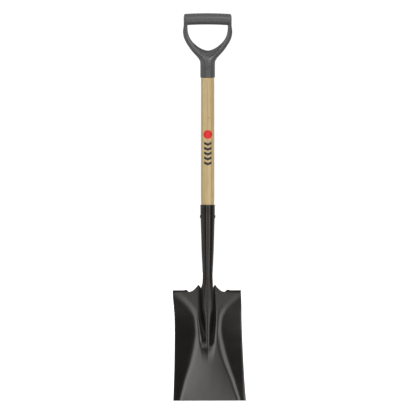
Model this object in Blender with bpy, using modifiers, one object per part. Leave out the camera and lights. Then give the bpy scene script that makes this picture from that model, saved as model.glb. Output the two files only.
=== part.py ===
"""Garden spade: a stamped steel blade with a rolled, open-back socket, an ash shaft and a moulded D-grip.

Metres, +Z up along the shaft, the dished face of the blade towards -Y. The origin is the middle of the
cutting edge, so the shaft's axis is AXIS_Y behind it. Two rivets hold the three large pieces together.
"""

import math

import bmesh
import bpy
from mathutils import Matrix, Vector

# Whole tool
OVERALL_HEIGHT = 1.016
AXIS_Y = 0.0337  # from the cutting edge back to the shaft's axis
GAP = 0.0003  # clearance between pieces that touch

# Blade: a flat blank, bowed along its length and bent forward along two curved creases
SHEET = 0.0018
TRIM_BELOW = 0.003  # the sheet is made this much too long, then trimmed level at the cutting edge
LIFT = math.radians(10.5)  # the lean of the blade against the shaft
BOW = 0.008  # how far the middle of the blade's length is pressed back
PLATE_DISH = (  # (height, curvature across the blade, 1/m)
    (0.000, 0.3),
    (0.050, 1.0),
    (0.100, 1.5),
    (0.160, 1.0),
    (0.240, 0.0),
)
BLANK_HALF_WIDTH = (  # (height, half width)
    (0.000, 0.0971),
    (0.034, 0.0957),
    (0.076, 0.0945),
    (0.118, 0.0938),
    (0.160, 0.0931),
    (0.212, 0.0925),
    (0.240, 0.0923),
    (0.285, 0.0904),
)
WING_ANGLE = math.radians(22.0)
WING_RELAX = 0.5  # curvature with which the wings bend back again, 1/m
WING_CREASE = (  # (height, distance of the crease from the middle)
    (0.000, 0.0785),
    (0.054, 0.0648),
    (0.110, 0.0459),
    (0.145, 0.0362),
    (0.185, 0.0301),
    (0.217, 0.0326),
    (0.236, 0.0400),
    (0.249, 0.0500),
    (0.262, 0.0630),
    (0.286, 0.0900),
)
WING_BEND_RADIUS = (  # (height, radius of the crease)
    (0.000, 0.040),
    (0.060, 0.060),
    (0.117, 0.075),
    (0.200, 0.060),
    (0.236, 0.080),
    (0.262, 0.110),
    (0.286, 0.140),
)

# Top outline of the blade, from the socket outwards
NOTCH_Z = 0.294
PEAK_Z = 0.304
DIP_X = 0.0435
DIP_Z = 0.2860
DIP_POWER = 1.6  # how quickly the edge falls from the peak to the dip
STEP_INNER_X = 0.0451  # the step starts to turn here
STEP_FULL_X = 0.0608  # and is a right angle from here out
STEP_FOLD_Z = 0.2848
STEP_FOLD_RADIUS = 0.003
STEP_REACH = 0.008  # flat part of the tread
STEP_LEAN = math.atan(math.tan(LIFT) - 4 * BOW / STEP_FOLD_Z)  # lean of the bowed blade at the fold

# Ridge (frog) pressed out of the blade below the socket
RIDGE_HEIGHT = (  # (height above the cutting edge, rise of the crest over the plate)
    (0.092, 0.0000),
    (0.106, 0.0003),
    (0.118, 0.0009),
    (0.131, 0.0021),
    (0.144, 0.0043),
    (0.157, 0.0071),
    (0.170, 0.0102),
    (0.185, 0.0136),
    (0.211, 0.0189),
    (0.250, 0.0258),
    (0.294, 0.0321),
    (0.304, 0.0327),
)
RIDGE_SECTION_REACH = 0.031  # the section runs from the crest to here on the blank
CAP_ANGLE = math.radians(16)  # the crest is flatter up to this slope
CAP_RADIUS = (
    (0.137, 0.0080),
    (0.150, 0.0130),
    (0.185, 0.0140),
    (0.211, 0.0180),
    (0.250, 0.0350),
    (0.294, 0.0250),
)
SHOULDER_RADIUS = ((0.137, 0.0025), (0.164, 0.0038), (0.211, 0.0060), (0.250, 0.0065), (0.294, 0.0085))
FOOT_RADIUS = (
    (0.106, 0.020),
    (0.131, 0.040),
    (0.144, 0.045),
    (0.157, 0.030),
    (0.170, 0.030),
    (0.185, 0.026),
    (0.211, 0.018),
    (0.260, 0.008),
    (0.294, 0.006),
)
FOOT_X = (  # where the foot arc meets the flat plate
    (0.106, 0.0150),
    (0.120, 0.0180),
    (0.134, 0.0215),
    (0.149, 0.0245),
    (0.164, 0.0262),
    (0.185, 0.0283),
    (0.211, 0.0290),
    (0.250, 0.0265),
    (0.294, 0.0240),
)
NOTCH_SHARE = 0.631  # share of the section's length from the crest to the notch
PEAK_SHARE = 0.831
FLAT_SHARE = 0.910  # a little past the foot

# Socket
SOCKET_RIM_Z = 0.5130
SOCKET_CLOSED_Z = 0.345
ROLL_START = 0.008  # the strap starts to curl this far below the notch
SEAM_ANGLE = math.radians(178.3)  # where the rolled edges end, measured from the front
SOCKET_RADIUS = (  # (height, outer radius)
    (0.290, 0.0134),
    (0.325, 0.0132),
    (0.343, 0.0137),
    (0.369, 0.0149),
    (0.395, 0.0161),
    (0.421, 0.0168),
    (0.460, 0.0179),
    (0.490, 0.0189),
    (0.5085, 0.0190),
    (0.5130, 0.01965),
)

# Shaft
SOCKET_PLAY = 0.0005  # between the faceted socket's inside and the shaft
SHAFT_RADIUS_LOW = 0.0177
SHAFT_RADIUS_HIGH = 0.0174
SHAFT_LEAVES_SOCKET_Z = 0.530  # full thickness from here up
SHAFT_TAPER_Z = (0.350, 0.511)  # it follows the socket's inside between these heights
SHAFT_SEAT_RADIUS = 0.01685  # its largest radius inside the socket
SHAFT_FOOT_Z = 0.298
SHAFT_FOOT_RADIUS = 0.0085
SHAFT_FOOT_CHAMFER = 0.003
TENON_RADIUS = 0.0152
TENON_TOP_Z = 0.896
TENON_CHAMFER = 0.0012

# Grip: one body of oval sections from the ferrule up to the bar, with a window cut through it
FERRULE_RADIUS = 0.0192
FERRULE_Z = 0.8466
FERRULE_EDGE = 0.0025
BORE_TOP_Z = 0.900
GRIP_BODY_TOP_Z = 1.000
GRIP_HALF_WIDTH = (  # (height, half width)
    (0.880, 0.0192),
    (0.888, 0.0196),
    (0.896, 0.0233),
    (0.904, 0.0300),
    (0.915, 0.0402),
    (0.930, 0.0512),
    (0.943, 0.0590),
    (0.956, 0.0637),
    (0.967, 0.0650),
    (0.985, 0.0631),
    (1.000, 0.0618),
)
GRIP_HALF_DEPTH = ((0.880, 0.0192), (0.892, 0.0182), (0.910, 0.0145), (0.932, 0.0125), (1.000, 0.0125))
GRIP_SQUARENESS = ((0.880, 2.0), (0.905, 2.6), (0.940, 3.4))  # exponent of the sections
GRIP_BAR_RADIUS = 0.0150
GRIP_BAR_HALF_LENGTH = 0.0620
GRIP_BAR_ROUND_END = 0.003
GRIP_BAR_ARCH = 0.0020
GRIP_WINDOW = (  # right half, from inside the bar down to the middle
    (0.0542, 0.9970),
    (0.0542, 0.9830),
    (0.0536, 0.9700),
    (0.0512, 0.9590),
    (0.0455, 0.9470),
    (0.0350, 0.9350),
    (0.0190, 0.9235),
    (0.0000, 0.9180),
)
POCKET_LOWER = ((0.0385, 0.9345), (0.0265, 0.9185), (0.0125, 0.9050), (0.0000, 0.9003))
POCKET_UPPER = ((0.0385, 0.9345), (0.0270, 0.9255), (0.0140, 0.9178), (0.0000, 0.9150))
POCKET_FLOOR = 0.0080  # half the thickness of the web left between the two pockets

# Rivets
SOCKET_RIVET_Z = 0.4827
GRIP_RIVET_Z = 0.8710
RIVET_RADIUS = 0.0025
RIVET_HEAD_RADIUS = 0.0045
RIVET_HEAD_HEIGHT = 0.0011
RIVET_HEAD_EDGE = 0.0003  # height of the straight edge under the dome
RECESS_RADIUS = 0.0056
RECESS_DEPTH = 0.0016

# Tools
CUT_PAST = 0.010  # cutters run this far past what they cut
TRIM_BOX = (0.300, 0.200, 0.050)
MERGE_DISTANCE = 0.00005

# Fineness
CURVE_STEPS = 4
ROUND_SIDES = 32
HOLE_SIDES = 16
RIVET_DOME_STEPS = 3
SHAFT_TAPER_STEPS = 10
GRIP_SIDES = 40
GRIP_RINGS = 20
FERRULE_EDGE_STEPS = 3
BAR_SIDES = 24
BAR_RINGS = 10
BAR_END_STEPS = 3
RIDGE_COLUMNS = 10
FOOT_COLUMNS = 3
INNER_COLUMNS = 3
STEP_TURN_COLUMNS = 5
STEP_COLUMNS = 5
BLADE_ROWS = 26
SOCKET_ROWS = 16
SOCKET_ROW_CROWDING = 0.4  # 0 spaces the rows evenly, more crowds them towards the rim
FOLD_STEPS = 3
SMOOTH_BELOW = math.radians(35)


def along(stations, place):
    """Value at a place on a smooth curve through (place, value) stations, level past both ends."""
    places = [p for p, _ in stations]
    values = [v for _, v in stations]
    if place <= places[0]:
        return values[0]
    if place >= places[-1]:
        return values[-1]
    slopes = [(values[i + 1] - values[i]) / (places[i + 1] - places[i]) for i in range(len(places) - 1)]
    tangents = [slopes[0]]
    for before, after in zip(slopes, slopes[1:]):
        tangents.append(0.0 if before * after <= 0 else 2 * before * after / (before + after))
    tangents.append(slopes[-1])
    i = max(k for k in range(len(places) - 1) if places[k] <= place)
    span = places[i + 1] - places[i]
    t = (place - places[i]) / span
    return (
        values[i] * (1 + 2 * t) * (1 - t) ** 2
        + tangents[i] * span * t * (1 - t) ** 2
        + values[i + 1] * t * t * (3 - 2 * t)
        + tangents[i + 1] * span * t * t * (t - 1)
    )


def smoothed(points, steps):
    """Points on a Catmull-Rom curve through (x, z) points; an end on the middle line is level there."""
    p = [Vector(q) for q in points]
    before = 2 * p[0] - p[1]
    after = Vector((-p[-2].x, p[-2].y)) if p[-1].x == 0 else 2 * p[-1] - p[-2]
    p = [before] + p + [after]
    out = []
    for a, b, c, d in zip(p, p[1:], p[2:], p[3:]):
        for k in range(steps):
            t = k / steps
            square = 2 * a - 5 * b + 4 * c - d
            cube = 3 * b - a - 3 * c + d
            out.append(0.5 * (2 * b + (c - a) * t + square * t * t + cube * t**3))
    return out + [p[-2]]


def ease(t):
    """0 below 0, 1 above 1, smooth between."""
    t = min(max(t, 0.0), 1.0)
    return t * t * (3 - 2 * t)


def material(name, colour, roughness, metallic=0.0):
    mat = bpy.data.materials.new(name)
    mat.use_nodes = True
    shader = mat.node_tree.nodes["Principled BSDF"]
    shader.inputs["Base Color"].default_value = (*colour, 1.0)
    shader.inputs["Roughness"].default_value = roughness
    shader.inputs["Metallic"].default_value = metallic
    return mat


def new_object(name, mesh, collection, mat=None):
    ob = bpy.data.objects.new(name, mesh)
    collection.objects.link(ob)
    if mat:
        mesh.materials.append(mat)
    return ob


def on_axis(ob, shaft_axis, z=0.0):
    """Place an object on the shaft's axis, at height z."""
    ob.parent = shaft_axis
    ob.location = (0.0, 0.0, z)


def cylinder(name, radius, low, high, axis, collection, sides=HOLE_SIDES):
    """A closed cylinder between two places on an axis ("X", "Y" or "Z"), used as a cutter."""
    bm = bmesh.new()
    size = {"radius1": radius, "radius2": radius, "depth": high - low}
    bmesh.ops.create_cone(bm, cap_ends=True, segments=sides, **size)
    # Half a side round, so that no cutter edge falls on an edge in the middle of a piece
    bmesh.ops.rotate(bm, matrix=Matrix.Rotation(math.pi / sides, 3, "Z"), verts=bm.verts)
    turn = {"X": Matrix.Rotation(math.pi / 2, 4, "Y"), "Y": Matrix.Rotation(-math.pi / 2, 4, "X")}
    mid = (low + high) / 2
    bmesh.ops.transform(bm, matrix=turn.get(axis, Matrix.Identity(4)), verts=bm.verts)
    bmesh.ops.translate(bm, vec=[mid if a == axis else 0.0 for a in "XYZ"], verts=bm.verts)
    return cutter(name, bm, collection)


def cutter(name, bm, collection):
    mesh = bpy.data.meshes.new(name)
    bm.to_mesh(mesh)
    bm.free()
    ob = new_object(name, mesh, collection)
    ob.hide_render = True
    ob.display_type = "WIRE"
    return ob


def boolean(ob, other, operation):
    mod = ob.modifiers.new(f"{operation.lower()}_{other.name}", "BOOLEAN")
    mod.object = other
    mod.operation = operation
    mod.solver = "EXACT"


def applied(ob):
    """Apply an object's modifiers and shade it smooth, apart from its sharp edges."""
    bpy.context.view_layer.update()
    graph = bpy.context.evaluated_depsgraph_get()
    mesh = bpy.data.meshes.new_from_object(ob.evaluated_get(graph))
    ob.modifiers.clear()
    ob.data = mesh
    mesh.shade_smooth()
    mesh.set_sharp_from_angle(angle=SMOOTH_BELOW)


def turned(name, profile, collection, mat):
    """A solid of revolution about Z, from (radius, z) points that run from the top down to the bottom."""
    bm = bmesh.new()
    verts = [bm.verts.new((r, 0.0, z)) for r, z in profile]
    for a, b in zip(verts, verts[1:]):
        bm.edges.new((a, b))
    mesh = bpy.data.meshes.new(name)
    bm.to_mesh(mesh)
    bm.free()
    ob = new_object(name, mesh, collection, mat)
    screw = ob.modifiers.new("turn", "SCREW")
    screw.steps = screw.render_steps = ROUND_SIDES
    screw.use_merge_vertices = True
    screw.merge_threshold = MERGE_DISTANCE
    screw.use_smooth_shade = True
    return ob


# ---------------------------------------------------------------- blade


def walk(path, go):
    """Where a point is, a distance along a path of (length, curvature) stretches that sets out level."""
    across = up = angle = 0.0
    for length, bend in path:
        step = min(go, length)
        half = step * bend / 2
        chord = step * math.sin(half) / half if half else step
        across += chord * math.cos(angle + half)
        up += chord * math.sin(angle + half)
        angle += 2 * half
        go -= step
    return across, up


def plate_y(z):
    """The middle of the blade at height z, without its ridge."""
    t = z / STEP_FOLD_Z
    return math.tan(LIFT) * z + 4 * BOW * t * (1 - t)


def wing_bend(s, z):
    """Where a point s from the middle of the flat blank ends up: its X and how far forward it is bent."""
    dish = along(PLATE_DISH, z)
    radius = along(WING_BEND_RADIUS, z)
    start = along(WING_CREASE, z) - radius * WING_ANGLE / 2
    turn = WING_ANGLE - start * dish
    return walk(((start, dish), (radius * turn, 1 / radius), (s, -WING_RELAX)), s)


def ridge_section(share, z):
    """Point of the half section at a share of its length: its distance from the middle and its rise.

    The section is a flat arc, a tighter shoulder, a straight wall, a foot arc and then the plate.
    Where the wall is no steeper than the flat arc's end, there is no shoulder.
    """
    height = along(RIDGE_HEIGHT, z)
    cap = along(CAP_RADIUS, z)
    foot = along(FOOT_RADIUS, z)
    foot_x = along(FOOT_X, z)
    for shoulder in (cap, along(SHOULDER_RADIUS, z)):
        both = shoulder + foot
        across = foot_x - (cap - shoulder) * math.sin(CAP_ANGLE)
        down = height - cap + (cap - shoulder) * math.cos(CAP_ANGLE) - foot
        span = math.hypot(across, down)
        lean = math.asin(min(both / span, 1.0)) + math.atan2(down, across)
        if lean < CAP_ANGLE:
            break
    top = min(CAP_ANGLE, lean)
    path = [(cap * top, -1 / cap), (shoulder * (lean - top), -1 / shoulder)]
    path += [(math.sqrt(span * span - both * both), 0.0), (foot * lean, 1 / foot)]
    path += [(RIDGE_SECTION_REACH - foot_x, 0.0)]
    x, up = walk(path, share * sum(length for length, _ in path))
    return x, height + up


def blade_point(share, s, z):
    """Mid-surface point of the blade on its +X side; share is used up to the section's reach, then s."""
    rise = 0.0
    if share < 1.0:
        s, rise = ridge_section(share, z)
    x, forward = wing_bend(s, z)
    return Vector((x, plate_y(z) - rise - forward, z))


def socket_point(t, z):
    """Mid-surface point of the strap that is rolled into the socket; t runs from the front to its edge."""
    radius = along(SOCKET_RADIUS, z) - SHEET / 2
    angle = SEAM_ANGLE * t
    rolled = Vector((radius * math.sin(angle), AXIS_Y - radius * math.cos(angle), z))
    pressed = blade_point(t * NOTCH_SHARE, 0.0, z)
    return pressed.lerp(rolled, ease((z - NOTCH_Z + ROLL_START) / (SOCKET_CLOSED_Z - NOTCH_Z)))


def top_of_column(share, s):
    """Height of the blade's top edge: notch beside the socket, peak, dip, then the fold of the step."""
    if share <= NOTCH_SHARE:
        return NOTCH_Z
    if share <= PEAK_SHARE:
        return NOTCH_Z + (PEAK_Z - NOTCH_Z) * (share - NOTCH_SHARE) / (PEAK_SHARE - NOTCH_SHARE)
    if share < 1.0:
        s = ridge_section(share, PEAK_Z)[0]
    peak_x = ridge_section(PEAK_SHARE, PEAK_Z)[0]
    if s < DIP_X:
        return DIP_Z + (PEAK_Z - DIP_Z) * ((DIP_X - s) / (DIP_X - peak_x)) ** DIP_POWER
    return DIP_Z if s <= STEP_INNER_X else STEP_FOLD_Z


def spread(low, high, steps):
    """Evenly spaced values after low, up to and with high."""
    return [low + (high - low) * i / steps for i in range(1, steps + 1)]


def blade_columns():
    """(share, s) of each column of the +X half, from the crest out."""
    shares = [0.0] + spread(0.0, NOTCH_SHARE, RIDGE_COLUMNS)
    shares += spread(NOTCH_SHARE, PEAK_SHARE, FOOT_COLUMNS) + [FLAT_SHARE]
    flat = [RIDGE_SECTION_REACH] + spread(RIDGE_SECTION_REACH, STEP_INNER_X, INNER_COLUMNS)
    flat += spread(STEP_INNER_X, STEP_FULL_X, STEP_TURN_COLUMNS)
    flat += spread(STEP_FULL_X, BLANK_HALF_WIDTH[-1][1], STEP_COLUMNS)
    return [(share, 0.0) for share in shares] + [(1.0, s) for s in flat]


def fold_points(share, s):
    """The step at one column: the sheet turns forward, by a right angle where it is full, then runs on."""
    start = blade_point(share, s, STEP_FOLD_Z)
    up = Vector((0.0, math.sin(STEP_LEAN), math.cos(STEP_LEAN)))
    front = Vector((0.0, -math.cos(STEP_LEAN), math.sin(STEP_LEAN)))
    full = ease((s - STEP_INNER_X) / (STEP_FULL_X - STEP_INNER_X))
    turn = math.pi / 2 * full
    points = []
    for a in spread(0.0, turn, FOLD_STEPS):
        points.append(start + STEP_FOLD_RADIUS * (math.sin(a) * up + (1 - math.cos(a)) * front))
    onwards = math.cos(turn) * up + math.sin(turn) * front
    return points + [points[-1] + STEP_REACH * full * onwards]


def column_points(share, s, follows_side):
    """Mid-surface points up one column: blade, then the socket's strap or the step where it has one."""
    low = -TRIM_BELOW
    points = []
    for z in [low] + spread(low, top_of_column(share, s), BLADE_ROWS):
        points.append(blade_point(share, along(BLANK_HALF_WIDTH, z) if follows_side else s, z))
    if share <= NOTCH_SHARE:
        for t in spread(0.0, 1.0, SOCKET_ROWS):
            t += SOCKET_ROW_CROWDING * t * (1 - t)
            z = NOTCH_Z + (SOCKET_RIM_Z - NOTCH_Z) * t
            points.append(socket_point(share / NOTCH_SHARE, z))
    if s > STEP_INNER_X:
        points += fold_points(share, s)
    return points


def blade_half_sheet():
    """Mid-surface of the stamping's +X half, as one open mesh."""
    bm = bmesh.new()
    columns = blade_columns()
    grid = []
    for share, s in columns:
        points = column_points(share, s, follows_side=s == columns[-1][1])
        grid.append([bm.verts.new(point) for point in points])
    for inner, outer in zip(grid, grid[1:]):
        for row in range(min(len(inner), len(outer)) - 1):
            bm.faces.new((inner[row], outer[row], outer[row + 1], inner[row + 1]))
        for row in range(len(inner) - 1, len(outer) - 1):
            bm.faces.new((inner[-1], outer[row], outer[row + 1]))
    return bm


def make_blade(parts, cutters, mat, socket_hole):
    mesh = bpy.data.meshes.new("blade")
    bm = blade_half_sheet()
    bm.to_mesh(mesh)
    bm.free()
    mesh.shade_smooth()
    ob = new_object("blade", mesh, parts, mat)
    mirror = ob.modifiers.new("both_halves", "MIRROR")
    mirror.merge_threshold = MERGE_DISTANCE
    wall = ob.modifiers.new("sheet", "SOLIDIFY")
    wall.thickness = SHEET
    wall.offset = 0.0
    wall.use_even_offset = True

    trim = bmesh.new()
    bmesh.ops.create_cube(trim, size=1.0)
    bmesh.ops.scale(trim, vec=TRIM_BOX, verts=trim.verts)
    bmesh.ops.translate(trim, vec=(0.0, 0.0, -TRIM_BOX[2] / 2), verts=trim.verts)
    boolean(ob, cutter("cutting_edge_trim", trim, cutters), "DIFFERENCE")
    boolean(ob, socket_hole, "DIFFERENCE")


# ---------------------------------------------------------------- shaft


def shaft_radius_in_socket(z):
    return min(along(SOCKET_RADIUS, z) - SHEET - SOCKET_PLAY, SHAFT_SEAT_RADIUS)


def make_shaft(parts, mat, shaft_axis, rivet_holes):
    shoulder_z = FERRULE_Z - GAP
    profile = [(0.0, TENON_TOP_Z), (TENON_RADIUS - TENON_CHAMFER, TENON_TOP_Z)]
    profile += [(TENON_RADIUS, TENON_TOP_Z - TENON_CHAMFER), (TENON_RADIUS, shoulder_z)]
    profile += [(SHAFT_RADIUS_HIGH, shoulder_z), (SHAFT_RADIUS_LOW, SHAFT_LEAVES_SOCKET_Z)]
    low, high = SHAFT_TAPER_Z
    profile += [(shaft_radius_in_socket(z), z) for z in [high] + spread(high, low, SHAFT_TAPER_STEPS)]
    profile += [(SHAFT_FOOT_RADIUS, SHAFT_FOOT_Z + SHAFT_FOOT_CHAMFER)]
    profile += [(SHAFT_FOOT_RADIUS - SHAFT_FOOT_CHAMFER, SHAFT_FOOT_Z), (0.0, SHAFT_FOOT_Z)]
    ob = turned("shaft", profile, parts, mat)
    on_axis(ob, shaft_axis)
    for hole in rivet_holes:
        boolean(ob, hole, "DIFFERENCE")


# ---------------------------------------------------------------- grip


def mirrored(points):
    return [Vector((-p.x, p.y)) for p in points]


def flat_cutter(name, outline, low_y, high_y, collection):
    """A closed outline in XZ as a filled 2D curve, extruded between two depths and made a mesh."""
    curve = bpy.data.curves.new(name, "CURVE")
    curve.dimensions = "2D"
    curve.fill_mode = "BOTH"
    curve.extrude = (high_y - low_y) / 2
    spline = curve.splines.new("POLY")
    spline.points.add(len(outline) - 1)
    for point, (x, z) in zip(spline.points, outline):
        point.co = (x, z, 0.0, 1.0)
    spline.use_cyclic_u = True
    guide = bpy.data.objects.new(name, curve)
    collection.objects.link(guide)
    bpy.context.view_layer.update()
    graph = bpy.context.evaluated_depsgraph_get()
    mesh = bpy.data.meshes.new_from_object(guide.evaluated_get(graph))
    bpy.data.objects.remove(guide)
    bm = bmesh.new()
    bm.from_mesh(mesh)
    bpy.data.meshes.remove(mesh)
    bmesh.ops.remove_doubles(bm, verts=bm.verts, dist=MERGE_DISTANCE)
    bmesh.ops.rotate(bm, matrix=Matrix.Rotation(math.pi / 2, 3, "X"), verts=bm.verts)
    bmesh.ops.translate(bm, vec=(0.0, (low_y + high_y) / 2, 0.0), verts=bm.verts)
    bmesh.ops.recalc_face_normals(bm, faces=bm.faces)
    return cutter(name, bm, collection)


def oval(bm, half_width, half_depth, z, power=2.0, sides=GRIP_SIDES):
    """One level section of the grip: a superellipse, and an ellipse where its power is 2."""
    ring = []
    for k in range(sides):
        a = 2 * math.pi * k / sides
        c, s = math.cos(a), math.sin(a)
        x = half_width * math.copysign(abs(c) ** (2 / power), c)
        y = half_depth * math.copysign(abs(s) ** (2 / power), s)
        ring.append(bm.verts.new((x, y, z)))
    return ring


def loft(bm, rings):
    for a, b in zip(rings, rings[1:]):
        for k in range(len(a)):
            n = (k + 1) % len(a)
            bm.faces.new((a[k], a[n], b[n], b[k]))
    bm.faces.new(rings[0][::-1])
    bm.faces.new(rings[-1])


def grip_body():
    """Ferrule, yoke and arms in one loft, before the window is cut."""
    bm = bmesh.new()
    rings = []
    for k in range(FERRULE_EDGE_STEPS + 1):
        a = math.pi / 2 * k / FERRULE_EDGE_STEPS
        radius = FERRULE_RADIUS - FERRULE_EDGE * (1 - math.sin(a))
        rings.append(oval(bm, radius, radius, FERRULE_Z + FERRULE_EDGE * (1 - math.cos(a))))
    low = GRIP_HALF_WIDTH[0][0]
    for z in [low] + spread(low, GRIP_BODY_TOP_Z, GRIP_RINGS):
        width = along(GRIP_HALF_WIDTH, z)
        depth = along(GRIP_HALF_DEPTH, z)
        rings.append(oval(bm, width, depth, z, along(GRIP_SQUARENESS, z)))
    loft(bm, rings)
    return bm


def bar_radius(x):
    """Radius of the hand bar, rounded off at its ends."""
    over = max(abs(x) - (GRIP_BAR_HALF_LENGTH - GRIP_BAR_ROUND_END), 0.0)
    return GRIP_BAR_RADIUS - GRIP_BAR_ROUND_END + math.sqrt(max(GRIP_BAR_ROUND_END**2 - over**2, 0.0))


def grip_bar():
    """The round hand bar: arched upwards, with rounded ends."""
    bm = bmesh.new()
    shoulder = GRIP_BAR_HALF_LENGTH - GRIP_BAR_ROUND_END
    turns = spread(0.0, math.pi / 2, BAR_END_STEPS)
    ends = [shoulder + GRIP_BAR_ROUND_END * math.sin(a) for a in turns]
    rings = []
    for x in [-e for e in reversed(ends)] + [-shoulder] + spread(-shoulder, shoulder, BAR_RINGS) + ends:
        ring = oval(bm, bar_radius(x), bar_radius(x), x, sides=BAR_SIDES)
        z = OVERALL_HEIGHT - GRIP_BAR_RADIUS - GRIP_BAR_ARCH * (x / GRIP_BAR_HALF_LENGTH) ** 2
        for vert in ring:
            vert.co = (vert.co.z, vert.co.y, z - vert.co.x)
        rings.append(ring)
    loft(bm, rings)
    return bm


def make_grip(parts, cutters, mat, shaft_axis, rivet_hole):
    mesh = bpy.data.meshes.new("grip")
    bm = grip_body()
    bm.to_mesh(mesh)
    bm.free()
    ob = new_object("grip", mesh, parts, mat)
    on_axis(ob, shaft_axis)
    past = GRIP_HALF_DEPTH[0][1] + CUT_PAST

    half = smoothed(GRIP_WINDOW, CURVE_STEPS)
    window = flat_cutter("hand_window", half + mirrored(half[-2::-1]), -past, past, cutters)
    on_axis(window, shaft_axis)
    boolean(ob, window, "DIFFERENCE")

    lower = smoothed(POCKET_LOWER, CURVE_STEPS)
    upper = smoothed(POCKET_UPPER, CURVE_STEPS)
    crescent = lower + mirrored(lower[-2::-1]) + mirrored(upper[1:]) + upper[-2:0:-1]
    for name, low, high in (("front", -past, -POCKET_FLOOR), ("back", POCKET_FLOOR, past)):
        pocket = flat_cutter(f"pocket_{name}", crescent, low, high, cutters)
        on_axis(pocket, shaft_axis)
        boolean(ob, pocket, "DIFFERENCE")

    bar = cutter("grip_bar", grip_bar(), cutters)
    on_axis(bar, shaft_axis)
    boolean(ob, bar, "UNION")

    bore_low = FERRULE_Z - CUT_PAST
    bore = cylinder("tenon_bore", TENON_RADIUS + GAP, bore_low, BORE_TOP_Z, "Z", cutters, ROUND_SIDES)
    on_axis(bore, shaft_axis)
    boolean(ob, bore, "DIFFERENCE")
    boolean(ob, rivet_hole, "DIFFERENCE")
    floor = FERRULE_RADIUS - RECESS_DEPTH
    for name, low, high in (("front", -past, -floor), ("back", floor, past)):
        recess = cylinder(f"rivet_recess_{name}", RECESS_RADIUS, low, high, "Y", cutters)
        on_axis(recess, shaft_axis, GRIP_RIVET_Z)
        boolean(ob, recess, "DIFFERENCE")
    applied(ob)


# ---------------------------------------------------------------- rivets


def rivet_hole(name, axis, z, cutters, shaft_axis):
    """The hole of one rivet, cut through everything that the rivet holds."""
    reach = FERRULE_RADIUS + CUT_PAST
    hole = cylinder(name, RIVET_RADIUS + GAP, -reach, reach, axis, cutters)
    on_axis(hole, shaft_axis, z)
    return hole


def make_rivet(name, half_length, collection, mat):
    """A round rivet with a low domed head at each end; half_length is from its middle to under a head."""
    dome_foot = half_length + RIVET_HEAD_EDGE
    dome_rise = RIVET_HEAD_HEIGHT - RIVET_HEAD_EDGE
    profile = []
    for k in range(RIVET_DOME_STEPS + 1):
        a = math.pi / 2 * k / RIVET_DOME_STEPS
        profile.append((RIVET_HEAD_RADIUS * math.sin(a), dome_foot + dome_rise * math.cos(a)))
    profile += [(RIVET_HEAD_RADIUS, half_length), (RIVET_RADIUS, half_length)]
    profile += [(r, -z) for r, z in reversed(profile)]
    return turned(name, profile, collection, mat)


def make_rivets(parts, mat, shaft_axis):
    under_head = along(SOCKET_RADIUS, SOCKET_RIVET_Z) + GAP
    rivet = make_rivet("socket_rivet", under_head, parts, mat)
    on_axis(rivet, shaft_axis, SOCKET_RIVET_Z)
    rivet.rotation_euler = (0.0, math.pi / 2, 0.0)

    under_head = FERRULE_RADIUS - RECESS_DEPTH + GAP
    rivet = make_rivet("grip_rivet", under_head, parts, mat)
    on_axis(rivet, shaft_axis, GRIP_RIVET_Z)
    rivet.rotation_euler = (math.pi / 2, 0.0, 0.0)


def main():
    for ob in list(bpy.data.objects):
        bpy.data.objects.remove(ob)
    parts = bpy.data.collections.new("garden_spade")
    cutters = bpy.data.collections.new("cutters")
    for collection in (parts, cutters):
        bpy.context.scene.collection.children.link(collection)
    shaft_axis = bpy.data.objects.new("shaft_axis", None)
    shaft_axis.location = (0.0, AXIS_Y, 0.0)
    parts.objects.link(shaft_axis)

    coated_steel = material("coated_steel", (0.012, 0.012, 0.013), 0.32)
    ash = material("ash", (0.62, 0.46, 0.27), 0.45)
    grey_plastic = material("grey_plastic", (0.11, 0.11, 0.115), 0.55)
    rivet_steel = material("rivet_steel", (0.10, 0.10, 0.105), 0.38, metallic=0.6)

    socket_hole = rivet_hole("socket_rivet_hole", "X", SOCKET_RIVET_Z, cutters, shaft_axis)
    grip_hole = rivet_hole("grip_rivet_hole", "Y", GRIP_RIVET_Z, cutters, shaft_axis)
    make_blade(parts, cutters, coated_steel, socket_hole)
    make_shaft(parts, ash, shaft_axis, (socket_hole, grip_hole))
    make_grip(parts, cutters, grey_plastic, shaft_axis, grip_hole)
    make_rivets(parts, rivet_steel, shaft_axis)


main()
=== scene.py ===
"""Looks of the garden spade: fine surfaces and finishes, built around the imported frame.

Each piece stands for one CAD node and has its sizes. The blade is a sheet bent by the same rules as the
CAD blade on a finer grid, the grip is the surface of a field of distances, and the rest is turned.
"""

import math

import bmesh
import bpy
import numpy as np
from mathutils import Matrix, Vector


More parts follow.
